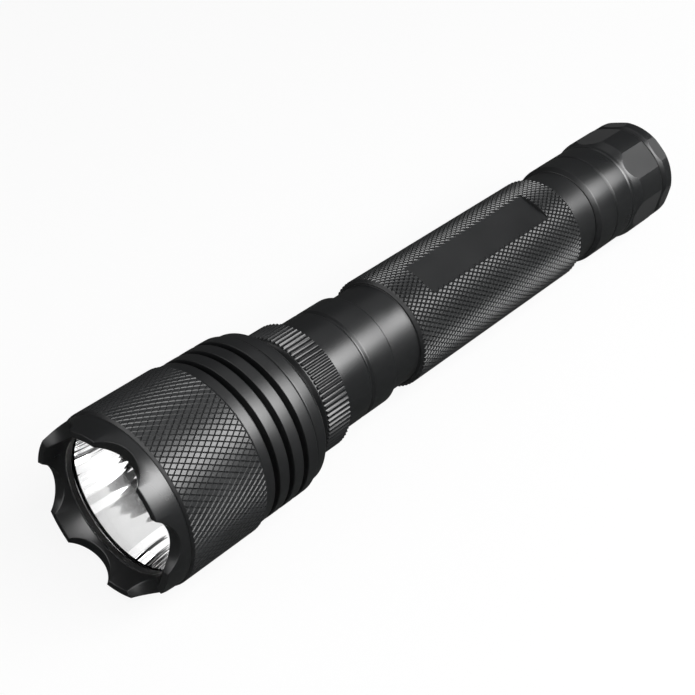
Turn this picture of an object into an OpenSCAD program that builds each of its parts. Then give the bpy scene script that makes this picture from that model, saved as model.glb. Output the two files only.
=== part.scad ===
// Tactical flashlight with three lithium cells in line, lying on a table.
// Every piece is drawn on the Z axis, tail plane at z = 0 and beam towards +Z, and
// laid() then puts it on its side: beam towards -X, +X of the drawing upwards.
// All sizes are in millimetres.  Threads are plain bands with a running fit.

/* [Cells] */
// Radius of one cell
cell_r = 8.5; // [8:0.1:9]
// Length of one cell with its contact button
cell_len = 34.5; // [33:0.5:36]
// Radius of the cell's contact button
cell_button_r = 3.2; // [2.5:0.1:4]
// Height of the cell's contact button
cell_button_h = 0.8; // [0.5:0.1:1.2]
// Room between the cells and the tube's bore
cell_clearance = 0.6; // [0.3:0.1:1]

/* [Body tube] */
// Wall of the tube, from the cell bore to the knurled grip's crests
tube_wall = 4.9; // [4.5:0.1:6]
// Step from the grip's crests down to the turned seats beside it
waist_step = 1.3; // [1.1:0.1:1.6]
// Length of the turned seat in front of the grip
front_waist_len = 9.2; // [6:0.1:14]
// Length of the turned seat behind the grip
rear_waist_len = 8.5; // [6:0.1:14]
// Depth of the milled panel in the grip
panel_depth = 0.97; // [0.5:0.01:1.1]
// Length of the milled panel
panel_len = 46.9; // [20:0.1:52]
// Distance of the milled panel's rear end from the grip's rear end
panel_offset = 9.6; // [3:0.1:12]
// Turn of the milled panel about the axis, in degrees
panel_turn = -19; // [-180:1:180]
// Step from the turned seats down to the crests of the male threads
thread_step = 1.1; // [0.9:0.05:1.4]
// How far the cells stand out of the tube's front end
cells_proud = 1.4; // [0.5:0.1:2]
// Length of each male thread of the tube
tube_thread_len = 13.3; // [10:0.1:15]
// Thickness of the tube's O-rings
o_ring_d = 1.2; // [1:0.05:1.5]

/* [Tail cap] */
// How far the nut band's corners stand out beyond the grip
nut_out = 0.5; // [0.3:0.1:1.5]
// Depth of a wrench flat in the nut band
flat_depth = 0.6; // [0.4:0.05:1]
// How far the smooth part of the tail cap lies below the grip's crests
cap_inset = 0.2; // [0:0.05:0.4]
// Length of the tail cap
cap_len = 36.2; // [34:0.1:40]
// Height of the tail end collar
collar_h = 4.6; // [4:0.1:5]
// Depth of a flat in the end collar
collar_flat_depth = 1; // [0.7:0.05:1.3]
// Height at which the nut band ends
nut_top = 15.5; // [13:0.1:17]
// Height of the taper from the nut band to the smooth part
nut_taper_h = 3; // [2:0.1:4]
// Turn of the six wrench flats about the axis, in degrees
flat_turn = 18; // [-180:1:180]
// Distance of the tail cap's groove from the tail plane
cap_groove_z = 27.6; // [24:0.1:32]
// Width and depth of the tail cap's groove
cap_groove_w = 0.5; // [0.3:0.1:0.8]
// Length of the chamfer at the tail cap's front
cap_lip_len = 1.1; // [0.8:0.1:1.5]
// Thickness of the tail cap's rear wall
cap_wall_h = 3.5; // [3:0.1:4]

/* [Tail switch] */
// Radius of the hole that the button's boot fills
boot_hole_r = 6.5; // [6:0.1:7.5]
// Depth of the boot's crown below the tail plane
boot_recess = 1; // [0.6:0.1:1.5]
// Thickness of the rubber boot
boot_t = 1.2; // [1:0.1:1.4]
// Radius of the switch housing
switch_r = 10; // [9.5:0.1:10.4]
// Height of the switch housing
switch_h = 11.3; // [10:0.1:13]
// Radius of the switch plunger
plunger_r = 3; // [2.5:0.1:3.5]
// Travel of the switch plunger
plunger_travel = 2; // [1:0.1:2.5]
// Thickness of the switch's contact board
switch_board_t = 1.2; // [0.8:0.1:1.6]
// Height of the ring that screws down on the switch
retaining_ring_h = 2.5; // [2:0.1:3]
// Radius of the hole in the retaining ring
retaining_hole_r = 6.5; // [6:0.1:7.5]
// Length of the tail spring under the cells' load
tail_spring_len = 13.8; // [12:0.1:15]
// Radius of the tail spring's widest turn
tail_spring_r = 5.2; // [4.5:0.1:6]
// Thickness of the tail spring's wire
tail_wire_d = 0.9; // [0.6:0.1:1.1]

/* [Neck] */
// How far the neck lies below the grip's crests
neck_inset = 0.2; // [0:0.05:0.4]
// Length of the neck's smooth sleeve
neck_len = 17.6; // [16:0.1:20]
// Distance of the neck's groove from its rear end
neck_groove_at = 7.5; // [5:0.1:9]
// Width of the neck's groove
neck_groove_w = 1.2; // [0.8:0.1:1.6]
// Depth of the neck's groove
neck_groove_depth = 0.35; // [0.2:0.05:0.5]
// Wall of the spigot that the selector ring turns on
spigot_wall = 1.35; // [1.2:0.05:1.8]
// Step from the spigot down to the crests of the neck's front thread
neck_thread_step = 0.4; // [0.3:0.05:0.6]
// Wall of the neck's front thread around the pill
neck_thread_wall = 1.65; // [1.4:0.05:2]
// Length of the neck's front thread
neck_thread_len = 10.7; // [9:0.1:12]

/* [Selector ring] */
// Wall of the selector ring up to its ridges
selector_wall = 2.4; // [2.2:0.05:3]
// Width of the smooth lip at the selector ring's front
selector_lip_w = 1.6; // [1:0.1:2.5]
// Length of the selector ring
selector_len = 9.8; // [8:0.1:12]
// Turn of the selector ring from its middle to either end, in degrees
selector_half_turn = 45; // [20:5:60]
// Radius of the stop pin in the neck
stop_pin_r = 0.8; // [0.6:0.1:1]
// How far the stop pin stands out of the spigot
stop_pin_out = 0.7; // [0.5:0.1:0.9]
// Radius of the selector's magnet
magnet_r = 1.5; // [1:0.1:2]
// Length of the selector's magnet
magnet_len = 1.2; // [1:0.1:1.5]

/* [Light engine] */
// Wall of the brass pill around the driver
pill_wall = 1.4; // [1.2:0.1:2]
// Thickness of the shelf under the LED board
pill_shelf = 5; // [3:0.1:7]
// Thickness of the driver board
driver_board_t = 1.6; // [1:0.1:2]
// Length of the driver's contact spring under the cells' load
driver_spring_len = 4.5; // [4:0.1:6]
// Radius of the driver spring's turn at the cell
driver_spring_tip_r = 2.2; // [1.8:0.1:2.8]
// Radius of the driver spring's turn on the board
driver_spring_base_r = 3.4; // [2.8:0.1:4.5]
// Thickness of the driver spring's wire
driver_wire_d = 0.7; // [0.5:0.1:0.9]
// Width of the pill's rim around the LED board
pill_rim_w = 1.5; // [1:0.1:2]
// Thickness of the LED board
led_board_t = 1.6; // [1:0.1:2]
// Side of the LED's square base
led_side = 5; // [3.5:0.1:5.2]
// Height of the LED's base
led_base_h = 0.7; // [0.5:0.1:1]
// Radius of the LED's dome
led_dome_r = 2; // [1.2:0.1:2.4]
// Thickness of the spacer that centres the reflector
spacer_t = 0.8; // [0.5:0.1:1]

/* [Reflector and lens] */
// Depth of the parabolic reflector, from its mouth to the bowl's vertex
reflector_depth = 25.23; // [22:0.01:28]
// Width of the ledge around the reflector's mouth that carries the lens
lens_seat_w = 0.8; // [0.6:0.05:1.2]
// Radius of the hole around the LED
led_hole_r = 4.2; // [4:0.1:4.6]
// Wall of the reflector
reflector_wall = 1.1; // [0.8:0.1:1.5]
// Thickness of the reflector's flange
flange_t = 2; // [1.5:0.1:3]
// Thickness of the glass lens
lens_t = 2.4; // [2:0.1:3]
// Thickness of the lens seal
seal_t = 1.3; // [1:0.1:1.6]

/* [Head] */
// Radius of the head's knurled band over its crests
head_r = 20; // [19.7:0.1:21]
// Length of the head's knurled band
head_knurl_len = 20.9; // [15:0.1:30]
// How far the cooling fins lie below the knurled band
fin_inset = 0.6; // [0.1:0.1:1]
// Width of each groove between the fins
fin_groove_w = 1.5; // [1.2:0.1:1.8]
// Depth of each groove between the fins
fin_groove_depth = 2.2; // [1.5:0.1:2.6]
// Distance from one fin groove to the next
fin_pitch = 4.3; // [3.6:0.1:5]
// Number of fin grooves
fin_grooves = 3; // [2:1:3]
// Step from the fins down to the head's rear edge
head_rear_step = 2; // [1.4:0.1:3]
// Wall behind the bottom of the fin grooves
fin_root_wall = 3.2; // [2.5:0.1:4]
// Length of the taper at the head's rear
head_taper_len = 4.6; // [3:0.1:6]
// Width of the rear fin, from the taper to the first groove
rear_fin_w = 3.2; // [2.6:0.1:4]
// Width of the front fin, from the last groove to the knurled band
front_fin_w = 2.6; // [2:0.1:4]
// Wall of the knurled band around the lens skirt
head_wall = 1.95; // [1.8:0.05:2.2]

/* [Bezel] */
// How far the bezel's base lies below the head's knurled band
bezel_inset = 0.4; // [0.1:0.05:0.8]
// How far the teeth lean in from the bezel's base
tooth_lean = 0.3; // [0:0.05:0.8]
// Thickness of a tooth at its tip
tooth_tip_w = 1.6; // [1:0.1:2.5]
// Length of the bezel in front of the head
bezel_len = 5.8; // [5:0.1:7]
// Height of the bezel's base below the teeth's lean
bezel_base_h = 1.5; // [1:0.1:2]
// Length of the bezel's threaded skirt
skirt_len = 5; // [4:0.1:6]
// Wall of the bezel's threaded skirt
skirt_wall = 0.95; // [0.8:0.05:1.2]
// Number of teeth
teeth = 6; // [3:1:8]
// Turn of the teeth about the axis, in degrees
tooth_turn = 8; // [-180:1:180]
// Radius of each scallop
scallop_r = 7.3; // [5:0.1:7.6]
// Depth of each scallop
scallop_depth = 3.4; // [2:0.1:3.7]
// How far the bezel's opening reaches in over the reflector's mouth
opening_inset = 0.3; // [0.1:0.05:1]
// Height of the lip over the lens seal above the bezel's parting face
bezel_lip_at = 1.1; // [0.9:0.05:1.3]

/* [Fits] */
// Radial room in a thread or between turning faces
running_gap = 0.05; // [0.03:0.01:0.08]
// Room between end faces of pieces that part
seat_gap = 0.1; // [0.05:0.05:0.2]
// Room between pieces that only pass each other
free_gap = 0.3; // [0.2:0.05:0.5]

/* [Hidden] */
$fn = 96;
cut = 1;                    // how far a cutter runs past the face it opens
full_turn = 360;
cells = 3;
flats = 6;
edge = 0.4;                 // small turned chamfer
contact_gap = 0.05;         // room where a contact touches a cell
spring_sides = 8;
spring_steps = 20;          // wire sections in one turn of a spring
jet = "#202124";
steel = "#b9bcc0";
brass = "#c9a24e";
rubber = "#141414";

// Radii that follow from the cells, the walls and the fits
bore_r = cell_r + cell_clearance;
grip_r = bore_r + tube_wall;
waist_r = grip_r - waist_step;
tube_thread_r = waist_r - thread_step;
cap_bore_r = tube_thread_r + running_gap;
cap_r = grip_r - cap_inset;
nut_r = grip_r + nut_out;
flat_apothem = nut_r - flat_depth;
collar_apothem = nut_r - collar_flat_depth;
switch_bore_r = switch_r + 2 * running_gap;
neck_r = grip_r - neck_inset;
spigot_r = cap_bore_r + spigot_wall;
ring_bore_r = spigot_r + running_gap;
selector_r = ring_bore_r + selector_wall;
neck_thread_r = spigot_r - neck_thread_step;
pill_bore_r = neck_thread_r - neck_thread_wall;
pill_r = pill_bore_r - running_gap;
led_board_r = pill_r - pill_rim_w;
fin_r = head_r - fin_inset;
head_rear_r = fin_r - head_rear_step;
throat_r = fin_r - fin_groove_depth - fin_root_wall;
skirt_r = head_r - head_wall - running_gap;
lens_bore_r = skirt_r - skirt_wall;
lens_r = lens_bore_r - running_gap;
reflector_r = lens_r - running_gap * 2;
cavity_r = lens_r + 2 * running_gap;
mouth_r = lens_r - lens_seat_w;
bezel_opening_r = mouth_r - opening_inset;
bezel_r = head_r - bezel_inset;
tooth_r = bezel_r - tooth_lean;
o_ring_mid_r = cap_bore_r - running_gap - o_ring_d / 2;
o_ring_seat_r = o_ring_mid_r - o_ring_d / 2 - running_gap;
o_ring_groove_w = o_ring_d + 2 * running_gap;

// Stations along the axis, from the tail plane up
boot_seat_z = cap_wall_h;
boot_flange_z = boot_seat_z + boot_t;
switch_top = boot_flange_z + switch_h;
switch_board_top = switch_top + switch_board_t;
ring_top = switch_board_top + retaining_ring_h;
cells_z = switch_board_top + tail_spring_len;
tube_rear_z = ring_top + 2 * free_gap;
rear_shoulder_z = cap_len + seat_gap;
grip_z = rear_shoulder_z + rear_waist_len;
cells_top = cells_z + cells * cell_len;
tube_front_z = cells_top - cells_proud;
front_shoulder_z = tube_front_z - tube_thread_len;
grip_top = front_shoulder_z - front_waist_len;
neck_z = front_shoulder_z + seat_gap;
neck_top = neck_z + neck_len;
driver_z = cells_top + driver_spring_len;
selector_z = neck_top + seat_gap;
selector_top = selector_z + selector_len;
head_z = selector_top + free_gap;
spigot_top = selector_top;
neck_front_z = spigot_top + neck_thread_len;
fins_z = head_z + head_taper_len;
head_knurl_z = fins_z + rear_fin_w + (fin_grooves - 1) * fin_pitch + fin_groove_w + front_fin_w;
head_top = head_knurl_z + head_knurl_len;
bezel_z = head_top + seat_gap;
bezel_top = bezel_z + bezel_len;
skirt_z = head_top - skirt_len;
seal_z = bezel_z + bezel_lip_at - seal_t;
lens_z = seal_z - lens_t;
mouth_z = lens_z;
vertex_z = mouth_z - reflector_depth;
focal_len = mouth_r * mouth_r / (4 * reflector_depth);
reflector_rear_z = vertex_z + led_hole_r * led_hole_r / (4 * focal_len);
focus_z = vertex_z + focal_len;
led_board_z = reflector_rear_z - spacer_t - led_board_t;
pill_z = driver_z;

// Points of the parabolic bowl, from the LED hole to the mouth
bowl_steps = 24;
function bowl_z(r, out) = vertex_z + (r - out) * (r - out) / (4 * focal_len);
function bowl_r(i, out) = led_hole_r + out + (mouth_r - led_hole_r) * i / bowl_steps;
function bowl(i, out) = [bowl_r(i, out), bowl_z(bowl_r(i, out), out)];

// Lays a piece on its side, with the middle of the light's length at x = 0
module laid() {
    translate([bezel_top / 2, 0, head_r]) rotate([0, -90, 0]) children();
}

// A turned piece from its half section
module turned(points) {
    rotate_extrude() polygon(points);
}

module tube_of(r_in, r_out, z0, z1) {
    difference() {
        translate([0, 0, z0]) cylinder(r = r_out, h = z1 - z0);
        translate([0, 0, z0 - cut]) cylinder(r = r_in, h = z1 - z0 + 2 * cut);
    }
}

module disc(r, z0, z1) {
    translate([0, 0, z0]) cylinder(r = r, h = z1 - z0);
}

module o_ring(r_mid, d, z) {
    translate([0, 0, z]) rotate_extrude() translate([r_mid, 0]) circle(d = d, $fn = 24);
}

// Round wire wound from radius ra at za to radius rb at zb
module coil_spring(ra, rb, za, zb, turns, wire_d) {
    n = turns * spring_steps;
    lead = wire_d / 2;
    function at(i) = i / n;
    function mid_r(i) = ra + (rb - ra) * at(i);
    function mid_z(i) = za + lead + (zb - za - 2 * lead) * at(i);
    points = [
        for (i = [0 : n], k = [0 : spring_sides - 1])
            let (a = full_turn * i / spring_steps, b = full_turn * k / spring_sides,
                 r = mid_r(i) + lead * cos(b))
            [r * cos(a), r * sin(a), mid_z(i) + lead * sin(b)]
    ];
    walls = [
        for (i = [0 : n - 1], k = [0 : spring_sides - 1])
            let (next = (k + 1) % spring_sides)
            [i * spring_sides + k, (i + 1) * spring_sides + k,
             (i + 1) * spring_sides + next, i * spring_sides + next]
    ];
    first = [for (k = [0 : spring_sides - 1]) k];
    last = [for (k = [0 : spring_sides - 1]) n * spring_sides + spring_sides - 1 - k];
    polyhedron(points, concat([first], walls, [last]));
}

module body_tube() color(jet) {
    difference() {
        turned([
            [bore_r, tube_rear_z], [tube_thread_r - edge, tube_rear_z],
            [tube_thread_r, tube_rear_z + edge],
            [tube_thread_r, rear_shoulder_z - 2 * o_ring_groove_w],
            [o_ring_seat_r, rear_shoulder_z - 2 * o_ring_groove_w],
            [o_ring_seat_r, rear_shoulder_z - o_ring_groove_w],
            [tube_thread_r, rear_shoulder_z - o_ring_groove_w],
            [tube_thread_r, rear_shoulder_z], [waist_r, rear_shoulder_z],
            [waist_r, grip_z], [grip_r - edge, grip_z], [grip_r, grip_z + edge],
            [grip_r, grip_top - edge], [grip_r - edge, grip_top],
            [waist_r, grip_top], [waist_r, front_shoulder_z],
            [tube_thread_r, front_shoulder_z],
            [tube_thread_r, front_shoulder_z + o_ring_groove_w],
            [o_ring_seat_r, front_shoulder_z + o_ring_groove_w],
            [o_ring_seat_r, front_shoulder_z + 2 * o_ring_groove_w],
            [tube_thread_r, front_shoulder_z + 2 * o_ring_groove_w],
            [tube_thread_r, tube_front_z - edge], [tube_thread_r - edge, tube_front_z],
            [bore_r, tube_front_z]
        ]);
        rotate(panel_turn) translate([grip_r - panel_depth, -grip_r, grip_z + panel_offset])
            cube([panel_depth + cut, 2 * grip_r, panel_len]);
    }
}

module cell(i) color("#3a5a78") {
    z = cells_z + i * cell_len;
    can_top = z + cell_len - cell_button_h - contact_gap;
    union() {
        turned([
            [0, z], [cell_r - edge, z], [cell_r, z + edge],
            [cell_r, can_top - edge], [cell_r - edge, can_top], [0, can_top]
        ]);
        disc(cell_button_r, can_top - cut, z + cell_len - contact_gap);
    }
}

module tail_o_ring() color(rubber)
    o_ring(o_ring_mid_r, o_ring_d, rear_shoulder_z - 1.5 * o_ring_groove_w);

module neck_o_ring() color(rubber)
    o_ring(o_ring_mid_r, o_ring_d, front_shoulder_z + 1.5 * o_ring_groove_w);

// Six wrench flats as a hexagonal prism
module hexagon(apothem, z0, z1) {
    translate([0, 0, z0]) rotate(flat_turn + full_turn / flats / 2)
        cylinder(r = apothem / cos(180 / flats), h = z1 - z0, $fn = flats);
}

module tail_cap() color(jet) {
    chamfer = 2 * edge;
    nut_z = collar_h + edge;
    taper_top = nut_top + nut_taper_h;
    line_z = taper_top + 1.4;
    line_depth = 0.15;
    difference() {
        union() {
            intersection() {
                turned([[0, 0], [nut_r - chamfer, 0], [nut_r - edge, edge],
                        [nut_r - edge / 2, collar_h - 1.4], [nut_r - chamfer, collar_h],
                        [0, collar_h]]);
                hexagon(collar_apothem, -cut, collar_h + cut);
            }
            disc(collar_apothem - edge, cut, nut_z + cut);
            intersection() {
                turned([[0, nut_z], [nut_r - chamfer, nut_z], [nut_r, nut_z + chamfer],
                        [nut_r, nut_top], [cap_r, taper_top], [0, taper_top]]);
                hexagon(flat_apothem, nut_z - cut, taper_top + cut);
            }
            turned([
                [0, taper_top - cut], [cap_r - edge / 2, taper_top - cut],
                [cap_r, taper_top], [cap_r, line_z - line_depth],
                [cap_r - line_depth, line_z], [cap_r, line_z + line_depth],
                [cap_r, cap_groove_z - cap_groove_w / 2], [cap_r - cap_groove_w, cap_groove_z],
                [cap_r, cap_groove_z + cap_groove_w / 2],
                [cap_r - edge / 4, cap_len - cap_lip_len], [waist_r, cap_len], [0, cap_len]
            ]);
        }
        translate([0, 0, -cut]) cylinder(r = boot_hole_r, h = cap_wall_h + 2 * cut);
        translate([0, 0, cap_wall_h])
            cylinder(r = switch_bore_r, h = ring_top + free_gap - cap_wall_h + cut);
        translate([0, 0, ring_top + free_gap])
            cylinder(r = cap_bore_r, h = cap_len - ring_top);
    }
}

module switch_boot() color(rubber) {
    dome_r = boot_hole_r - running_gap;
    crown_r = dome_r * 0.78;
    crown_drop = 0.1;
    shoulder_drop = 0.5;
    rim_drop = 0.9;
    inner_r = dome_r - boot_t;
    crown_z = boot_recess + rim_drop;
    flange_z = boot_seat_z + running_gap;
    turned([
        [0, boot_recess], [crown_r / 2, boot_recess + crown_drop],
        [crown_r, boot_recess + shoulder_drop], [dome_r - edge, crown_z],
        [dome_r, crown_z + shoulder_drop], [dome_r, flange_z],
        [switch_r, flange_z], [switch_r, boot_flange_z], [inner_r, boot_flange_z],
        [inner_r, crown_z + boot_t], [crown_r / 2, boot_recess + boot_t + crown_drop],
        [0, boot_recess + boot_t]
    ]);
}

plunger_z = boot_recess + boot_t + free_gap;
plunger_guide_len = 5;      // length of the plunger inside its housing
plunger_top = boot_flange_z + plunger_guide_len;
plunger_bore_top = plunger_top + plunger_travel + free_gap;

module switch_housing() color("#2b2b2b") {
    difference() {
        disc(switch_r, boot_flange_z, switch_top);
        translate([0, 0, boot_flange_z - cut])
            cylinder(r = plunger_r + running_gap, h = plunger_bore_top - boot_flange_z + cut);
    }
}

module switch_plunger() color("#8c2a22")
    turned([
        [0, plunger_z], [plunger_r - edge, plunger_z], [plunger_r, plunger_z + edge],
        [plunger_r, plunger_top], [0, plunger_top]
    ]);

module switch_board() color("#2f6b3c") disc(switch_r, switch_top, switch_board_top);

module retaining_ring() color(brass) {
    notch_w = 2;
    difference() {
        tube_of(retaining_hole_r, switch_r, switch_board_top, ring_top);
        for (a = [0, 180])
            rotate(a) translate([retaining_hole_r - cut, -notch_w / 2, ring_top - notch_w / 2])
                cube([switch_r, notch_w, notch_w]);
    }
}

module tail_spring() color(steel) {
    tip_share = 0.7;
    turns = 5;
    coil_spring(tail_spring_r, tail_spring_r * tip_share, switch_board_top,
                cells_z - contact_gap, turns, tail_wire_d);
}

module neck_sleeve() color(jet) {
    groove_z = neck_z + neck_groove_at + neck_groove_w / 2;
    ledge_z = tube_front_z + free_gap;
    difference() {
        turned([
            [0, neck_z], [neck_r - edge, neck_z], [neck_r, neck_z + edge],
            [neck_r, groove_z - neck_groove_w / 2],
            [neck_r - neck_groove_depth, groove_z - neck_groove_w / 6],
            [neck_r - neck_groove_depth, groove_z + neck_groove_w / 6],
            [neck_r, groove_z + neck_groove_w / 2],
            [neck_r, neck_top - edge / 2], [neck_r - edge / 2, neck_top],
            [spigot_r, neck_top], [spigot_r, spigot_top],
            [neck_thread_r, spigot_top], [neck_thread_r, neck_front_z], [0, neck_front_z]
        ]);
        translate([0, 0, neck_z - cut]) cylinder(r = cap_bore_r, h = ledge_z - neck_z + cut);
        translate([0, 0, neck_z]) cylinder(r = bore_r, h = driver_z - neck_z);
        translate([0, 0, driver_z - free_gap])
            cylinder(r = pill_bore_r, h = neck_front_z - driver_z + 2 * cut);
        stop_pin_hole();
    }
}

// The stop pin lies across the spigot, half way along the selector ring
stop_pin_floor = 0.2;       // metal left under the stop pin's hole
stop_pin_in = spigot_r - pill_bore_r - stop_pin_floor;
stop_pin_z = selector_z + selector_len / 2;

module stop_pin_hole() {
    translate([0, 0, stop_pin_z]) rotate([-90, 0, 0])
        translate([0, 0, spigot_r - stop_pin_in])
            cylinder(r = stop_pin_r, h = stop_pin_in + cut);
}

module stop_pin() color(steel)
    translate([0, 0, stop_pin_z]) rotate([-90, 0, 0])
        translate([0, 0, spigot_r - stop_pin_in])
            cylinder(r = stop_pin_r, h = stop_pin_in + stop_pin_out);

module selector_ring() color(jet) {
    slot_room = 1.5;        // degrees past the pin at either end
    slot_half = selector_half_turn + atan(stop_pin_r / spigot_r) + slot_room;
    slot_w = 2 * (stop_pin_r + free_gap);
    slot_depth = stop_pin_out + free_gap;
    lip_z = selector_top - selector_lip_w;
    difference() {
        turned([
            [ring_bore_r, selector_z], [selector_r - edge, selector_z],
            [selector_r, selector_z + edge], [selector_r, lip_z],
            [selector_r - edge, lip_z + edge / 2],
            [selector_r - 2 * edge, selector_top], [ring_bore_r, selector_top]
        ]);
        translate([0, 0, stop_pin_z - slot_w / 2]) rotate(90 - slot_half)
            rotate_extrude(angle = 2 * slot_half)
                translate([spigot_r - cut, 0]) square([cut + slot_depth, slot_w]);
        magnet_hole();
    }
}

module magnet_hole() {
    translate([0, 0, stop_pin_z]) rotate([90, 0, 0])
        translate([0, 0, spigot_r - cut])
            cylinder(r = magnet_r, h = cut + magnet_len + running_gap);
}

module selector_magnet() color(steel)
    translate([0, 0, stop_pin_z]) rotate([90, 0, 0])
        translate([0, 0, ring_bore_r]) cylinder(r = magnet_r, h = magnet_len);

module pill() color(brass) {
    cavity_top = led_board_z - pill_shelf;
    difference() {
        disc(pill_r, pill_z, led_board_z);
        translate([0, 0, pill_z - cut])
            cylinder(r = pill_r - pill_wall, h = cavity_top - pill_z + cut);
    }
}

module driver_board() color("#2f6b3c") {
    board_r = pill_r - pill_wall - running_gap;
    part_z = driver_z + driver_board_t - edge / 4;
    coil_size = [8, 5, 3.4];
    chip_size = [3, 3, 1.6];
    capacitor_r = 2.6;
    capacitor_h = 4.2;
    union() {
        disc(board_r, driver_z, driver_z + driver_board_t);
        translate([-coil_size.x / 2, 1, part_z]) cube(coil_size);
        translate([chip_size.x + edge, -chip_size.y - 1.6, part_z]) cube(chip_size);
        translate([-capacitor_r, -capacitor_r - 1, part_z])
            cylinder(r = capacitor_r, h = capacitor_h);
    }
}

module driver_spring() color(brass) {
    turns = 3;
    coil_spring(driver_spring_tip_r, driver_spring_base_r, cells_top, driver_z,
                turns, driver_wire_d);
}

module led_board() color("#d9d9d4") disc(led_board_r, led_board_z, led_board_z + led_board_t);

module led_emitter() color("#e8d36a") {
    base_z = led_board_z + led_board_t;
    union() {
        translate([-led_side / 2, -led_side / 2, base_z]) cube([led_side, led_side, led_base_h]);
        intersection() {
            translate([0, 0, base_z + led_base_h]) sphere(r = led_dome_r);
            disc(led_side, base_z + led_base_h / 2, focus_z + led_side);
        }
    }
}

module led_spacer() color("#f2f2ee") {
    spacer_w = 3.65;
    tube_of(led_side * 0.75, led_side * 0.75 + spacer_w, led_board_z + led_board_t,
            reflector_rear_z);
}

module head_shell() color(jet) {
    knurl_lead = 0.3;
    line_depth = 0.25;
    rear_edge = 0.6;
    cavity_len = 16.5;
    step_z = neck_front_z + free_gap;
    throat_z = led_board_z + led_board_t + edge;
    deep_z = mouth_z - cavity_len;
    difference() {
        turned([
            [0, head_z], [head_rear_r - rear_edge, head_z], [head_rear_r, head_z + rear_edge],
            [fin_r - line_depth, fins_z - line_depth], [fin_r - line_depth, fins_z],
            [fin_r, fins_z + line_depth],
            [fin_r, head_knurl_z - knurl_lead], [head_r, head_knurl_z + knurl_lead],
            [head_r, head_top - knurl_lead], [head_r - knurl_lead, head_top], [0, head_top]
        ]);
        for (i = [0 : fin_grooves - 1])
            let (groove_z = fins_z + rear_fin_w + i * fin_pitch)
                tube_of(fin_r - fin_groove_depth, fin_r + cut, groove_z, groove_z + fin_groove_w);
        translate([0, 0, head_z - cut])
            cylinder(r = neck_thread_r + running_gap, h = step_z - head_z + cut);
        translate([0, 0, step_z - cut]) cylinder(r = pill_r + free_gap, h = deep_z - step_z + cut);
        translate([0, 0, throat_z]) cylinder(r = throat_r, h = deep_z - throat_z + cut);
        translate([0, 0, deep_z]) cylinder(r = cavity_r, h = head_top - deep_z + cut);
        translate([0, 0, skirt_z - free_gap])
            cylinder(r = skirt_r + running_gap, h = skirt_len + free_gap + cut);
    }
}

module reflector() color("#e9ecee") {
    outer_top = mouth_z - flange_t;
    back = [for (i = [bowl_steps : -1 : 0])
        if (bowl(i, reflector_wall)[1] < outer_top - edge / 2) bowl(i, reflector_wall)];
    turned(concat(
        [for (i = [0 : bowl_steps]) bowl(i, 0)],
        [[reflector_r, mouth_z], [reflector_r, outer_top],
         [back[0][0] + edge / 2, outer_top]],
        back
    ));
}

module lens() color("#dfe9ea", 0.4)
    turned([
        [0, lens_z], [lens_r - edge, lens_z], [lens_r, lens_z + edge],
        [lens_r, seal_z - edge], [lens_r - edge, seal_z], [0, seal_z]
    ]);

module lens_seal() color(rubber)
    tube_of(bezel_opening_r + 2 * running_gap, lens_r, seal_z, seal_z + seal_t);

module bezel_ring() color(jet) {
    lip_z = seal_z + seal_t;
    fine_edge = edge / 2;
    difference() {
        turned([
            [lens_bore_r, skirt_z], [skirt_r - edge, skirt_z], [skirt_r, skirt_z + edge],
            [skirt_r, bezel_z], [bezel_r - fine_edge, bezel_z], [bezel_r, bezel_z + fine_edge],
            [bezel_r, bezel_z + bezel_base_h], [tooth_r, bezel_top - fine_edge],
            [tooth_r - fine_edge, bezel_top], [tooth_r - tooth_tip_w, bezel_top],
            [bezel_opening_r, lip_z + edge], [bezel_opening_r, lip_z],
            [lens_bore_r, lip_z]
        ]);
        for (i = [0 : teeth - 1])
            rotate(tooth_turn + (i + 0.5) * full_turn / teeth)
                translate([0, 0, bezel_top + scallop_r - scallop_depth])
                    rotate([0, 90, 0]) translate([0, 0, bezel_opening_r - cut])
                        cylinder(r = scallop_r, h = head_r - bezel_opening_r + 2 * cut);
    }
}

laid() body_tube();
laid() cell(0);  // cell_1
laid() cell(1);  // cell_2
laid() cell(2);  // cell_3
laid() tail_o_ring();
laid() neck_o_ring();
laid() tail_cap();
laid() switch_boot();
laid() switch_housing();
laid() switch_plunger();
laid() switch_board();
laid() retaining_ring();
laid() tail_spring();
laid() neck_sleeve();
laid() selector_ring();
laid() selector_magnet();
laid() stop_pin();
laid() pill();
laid() driver_board();
laid() driver_spring();
laid() led_board();
laid() led_emitter();
laid() led_spacer();
laid() head_shell();
laid() reflector();
laid() lens();
laid() lens_seal();
laid() bezel_ring();
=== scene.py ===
"""Looks of a tactical flashlight: black anodised body, knurled grip and head, mirror reflector."""

import math

import bmesh
import bpy
from bpy.props import FloatProperty, FloatVectorProperty, IntProperty, PointerProperty
from bpy.types import Operator, Panel, PropertyGroup
from mathutils import Matrix, Vector


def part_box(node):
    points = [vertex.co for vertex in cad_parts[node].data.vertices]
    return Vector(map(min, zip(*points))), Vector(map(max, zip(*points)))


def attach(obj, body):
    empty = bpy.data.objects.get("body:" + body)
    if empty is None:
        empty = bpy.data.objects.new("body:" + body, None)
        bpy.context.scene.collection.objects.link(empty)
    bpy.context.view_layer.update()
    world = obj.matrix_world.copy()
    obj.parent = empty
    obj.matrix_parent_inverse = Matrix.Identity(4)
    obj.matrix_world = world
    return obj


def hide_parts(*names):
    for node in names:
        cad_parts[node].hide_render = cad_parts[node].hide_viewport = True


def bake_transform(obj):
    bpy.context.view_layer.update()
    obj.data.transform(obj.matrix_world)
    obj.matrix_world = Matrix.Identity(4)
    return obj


bl_info = {
    "name": "Tactical flashlight",
    "version": (1, 0, 0),
    "blender": (4, 5, 0),
    "location": "View3D > Sidebar > Flashlight",
    "description": "Builds the finish and fine shapes of a tactical flashlight around its frame",
    "category": "Object",
}

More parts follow.
